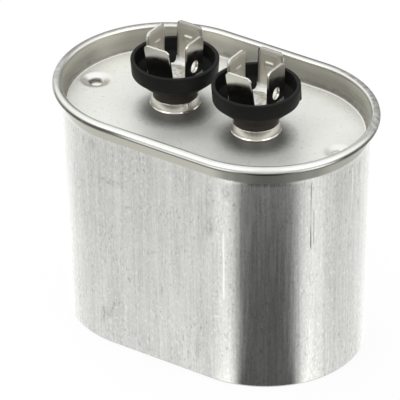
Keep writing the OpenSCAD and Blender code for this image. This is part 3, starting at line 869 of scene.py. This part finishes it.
def hammered_steel():
    """Plated steel, bright, with shallow uneven marks from the riveting tool."""
    material, shader, place, _ = finish("hammered_steel", Metallic=1.0)
    marks = place.noise(0.9 * mm, 3)
    fine = place.noise(0.3 * mm, 2)
    colour = marks.step(0.35, 0.65).blend((0.62, 0.61, 0.58), (0.88, 0.88, 0.86))
    feed(shader, Base_Color=colour, Roughness=0.22 + fine * 0.2, Height=(marks, 0.06 * mm))
    return material


head_z = base_z + tab_t
rivet_profile = rounded([
    [0, bush_end - rivet_head_h, 0],
    [rivet_head_r, bush_end - rivet_head_h, 0.3 * mm],
    [rivet_head_r, bush_end, 0],
    [rivet_r, bush_end, 0],
    [rivet_r, head_z, 0],
    [rivet_head_r, head_z, 0],
    [rivet_head_r, head_z + rivet_head_h, 0.3 * mm],
    [0, head_z + rivet_head_h, 0]])
steel = hammered_steel()
for side in SIDES:
    rivet = surface(f"rivet_body_{side}", "rivet_steel", steel, turned(f"rivet_{side}", rivet_profile, 96))
    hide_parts(f"rivet_{side}")


# The studio is a white table in a pale room that is dim on the camera's side, lit from above by a soft lamp
# that reflections don't show. A card that only reflections show lies round the can's front and ends, dark
# before the right end with bright wings, to give the round metal its contrast.
floor_half = 0.35
floor_mesh = bpy.data.meshes.new("floor")
floor_mesh.from_pydata([(-floor_half, -floor_half, 0), (floor_half, -floor_half, 0),
                        (floor_half, floor_half, 0), (-floor_half, floor_half, 0)], [], [(0, 1, 2, 3)])
floor = bpy.data.objects.new("floor", floor_mesh)
bpy.context.scene.collection.objects.link(floor)


def stage_tree(owner):
    """An empty node tree for the floor, the card or the room, as a signal to start from."""
    owner.use_nodes = True
    owner.node_tree.nodes.clear()
    return Signal(owner.node_tree)


def white_table():
    """White for the camera, and in reflections white near the can and dimmer far off, with the object's
    shadow kept, and pale paint for other light."""
    material = bpy.data.materials.new("white_table")
    root = stage_tree(material)
    direct = root.node("ShaderNodeLightPath", {}, {}, "Is Camera Ray")
    seen = direct
    for kind in ("Is Glossy Ray", "Is Transmission Ray"):
        seen = seen.math("MAXIMUM", seen, root.node("ShaderNodeLightPath", {}, {}, kind))
    place = root.node("ShaderNodeTexCoord", {}, {}, "Object")
    away = place.node("ShaderNodeVectorMath", {"operation": "LENGTH"}, {0: place}, "Value")
    tone = 1 - (1 - direct) * away.step(0.10, 0.16) * 0.65
    paint = root.node("ShaderNodeBsdfDiffuse", {}, {"Color": (0.8, 0.8, 0.8, 1)})
    glow = root.node("ShaderNodeEmission", {}, {"Color": (1, 1, 1, 1), "Strength": tone})
    mixed = root.node("ShaderNodeMixShader", {}, {0: seen * 0.92, 1: paint, 2: glow})
    root.node("ShaderNodeOutputMaterial", {}, {"Surface": mixed})
    return material


floor_mesh.materials.append(white_table())

CARD_TURNS = np.r_[np.linspace(-60, 0, 61), np.linspace(0, 125, 126)]
CARD_SPINE = np.r_[np.full(61, -run / 2), np.full(126, run / 2)]
CARD_REACH = np.linspace(0, 160, 17) * mm
CAMERA_TURN, CAMERA_RISE = 33.64, 31.76


def fan_card():
    """A fan that starts along the foot of the can's front and ends: from the point of the wall that faces
    each turn, it runs out in the direction in which that point mirrors the camera. Its map holds turn
    and reach."""
    facing = np.radians(CARD_TURNS)[:, None]
    mirrored = np.radians(2 * CARD_TURNS - CAMERA_TURN)[:, None]
    points = np.empty((len(CARD_TURNS), len(CARD_REACH), 3))
    wall_r = can_top_r - draft
    points[..., 0] = CARD_SPINE[:, None] + wall_r * np.sin(facing) + CARD_REACH * np.sin(mirrored)
    points[..., 1] = -wall_r * np.cos(facing) - CARD_REACH * np.cos(mirrored)
    points[..., 2] = 0.3 * mm
    return points, np.stack(np.broadcast_arrays(CARD_TURNS[:, None], CARD_REACH[None, :]), -1)


def dark_card():
    """Dark in front of the right end with a bright wing on each side of that, white before the flat front,
    and brighter round the two ends, all a little dimmer with the distance from the can."""
    material = bpy.data.materials.new("dark_card")
    root = stage_tree(material)
    laid = root.node("ShaderNodeTexCoord", {}, {}, "UV")
    turn, reach = laid.part("X"), laid.part("Y")
    wing = turn.step(1.0, 8.0) * (1 - turn.step(62.0, 72.0))
    ends = 1 - turn.step(-52.0, -14.0) + turn.step(84.0, 124.0)
    dark = turn.step(12.0, 20.0) * (1 - turn.step(47.0, 57.0))
    dark = dark * (1 - reach.step(0.104, 0.122))
    tone = ((1 + wing * 0.4 + ends * 0.6) * (1 - dark) + dark * 0.12) * (1.05 - reach * (0.13 / 0.08))
    glow = root.node("ShaderNodeEmission", {}, {"Color": (1, 1, 0.985, 1), "Strength": tone})
    root.node("ShaderNodeOutputMaterial", {}, {"Surface": glow})
    return material


card_points, card_map = fan_card()
card_index = np.arange(card_points[..., 0].size).reshape(card_points.shape[:2])
card_faces = quads(card_index)
card_mesh = bpy.data.meshes.new("card")
card_mesh.from_pydata(card_points.reshape(-1, 3), [], card_faces)
card_layer = card_mesh.uv_layers.new(name="UVMap")
card_layer.data.foreach_set("uv", card_map.reshape(-1, 2)[card_faces.ravel()].astype(np.float32).ravel())
card_mesh.materials.append(dark_card())
card = bpy.data.objects.new("card", card_mesh)
card.visible_camera = False
card.visible_diffuse = False
card.visible_shadow = False
card.visible_transmission = False
bpy.context.scene.collection.objects.link(card)


# Turn and rise of the middle of each bright area of the room
BRIGHT_AREAS = ((-17, 42), (85, 42))


def direction(turn, rise):
    """The unit vector at a turn from the front round to the right and a rise above the table, in degrees:
    the sine and cosine of the turn in plan, shortened by the rise's cosine, and the rise's sine upwards."""
    turn, rise = np.radians([turn, rise])
    return np.sin(turn) * np.cos(rise), -np.cos(turn) * np.cos(rise), np.sin(rise)


def pale_room(world):
    """White seen directly. In reflections it is white overhead with two bright areas, grey in a patch behind,
    and dim near the horizon and round the camera, where the room is unlit."""
    root = stage_tree(world)
    seen = root.node("ShaderNodeLightPath", {}, {}, "Is Camera Ray")
    way = root.node("ShaderNodeTexCoord", {}, {}, "Generated")
    facing = way.along(direction(CAMERA_TURN, CAMERA_RISE))
    low = 1 - way.part("Z").step(0.08, 0.24)
    dim = low.math("MAXIMUM", low, facing.step(0.94, 0.99) * 0.6)
    shade = facing.step(-0.2, 0.4).blend((0.34, 0.33, 0.315), (0.62, 0.61, 0.59))
    tone = dim.blend((1.0, 1.0, 0.99), shade)
    behind = way.along((-0.1, 0.95, 0.3))
    tone = behind.step(0.86, 0.95).blend(tone, (0.26, 0.26, 0.245))
    for area_turn, area_rise in BRIGHT_AREAS:
        near = way.along(direction(area_turn, area_rise))
        tone = near.step(0.93, 0.975).blend(tone, (2.4, 2.4, 2.36))
    sky = root.node("ShaderNodeBackground", {}, {"Color": seen.blend(tone, (1, 1, 1)), "Strength": 1.0})
    root.node("ShaderNodeOutputWorld", {}, {"Surface": sky})


world = bpy.data.worlds.new("pale_room")
bpy.context.scene.world = world
pale_room(world)

lamp = bpy.data.lights.new("soft_lamp", "AREA")
lamp.shape = "DISK"
lamp.size = 0.6
lamp.energy = 3.0
lamp_holder = bpy.data.objects.new("soft_lamp", lamp)
lamp_holder.location = (-0.25, 0.1, 0.9)
lamp_holder.rotation_mode = "QUATERNION"
lamp_holder.rotation_quaternion = (Vector((0, 0, 0.04)) - lamp_holder.location).to_track_quat("-Z", "Y")
lamp_holder.visible_camera = False
lamp_holder.visible_glossy = False
bpy.context.scene.collection.objects.link(lamp_holder)

# The camera stands where the photograph was taken from: to the right of the front, looking down.
AZIMUTH, ROLL = np.radians([CAMERA_TURN, -0.29])
CAMERA_DISTANCE = 1056.8 * mm
TARGET = Vector((0, 0, 28.3 * mm))
PICTURE = 400
PIXELS_PER_RADIAN = 4914
TARGET_PIXEL = (215.97, 205.02)
back = Vector(direction(CAMERA_TURN, CAMERA_RISE))
right = Vector((np.cos(AZIMUTH), np.sin(AZIMUTH), 0))
up = back.cross(right)
right, up = right * np.cos(ROLL) + up * np.sin(ROLL), up * np.cos(ROLL) - right * np.sin(ROLL)
lens = bpy.data.cameras.new("camera")
lens.sensor_width = 36
lens.lens = PIXELS_PER_RADIAN / PICTURE * lens.sensor_width
lens.shift_x = (PICTURE / 2 - TARGET_PIXEL[0]) / PICTURE
lens.shift_y = (TARGET_PIXEL[1] - PICTURE / 2) / PICTURE
camera = bpy.data.objects.new("camera", lens)
turned_to_can = Matrix((right, up, back)).transposed().to_4x4()
camera.matrix_world = Matrix.Translation(TARGET + back * CAMERA_DISTANCE) @ turned_to_can
bpy.context.scene.collection.objects.link(camera)
bpy.context.scene.camera = camera
bpy.context.scene.view_settings.view_transform = "Standard"
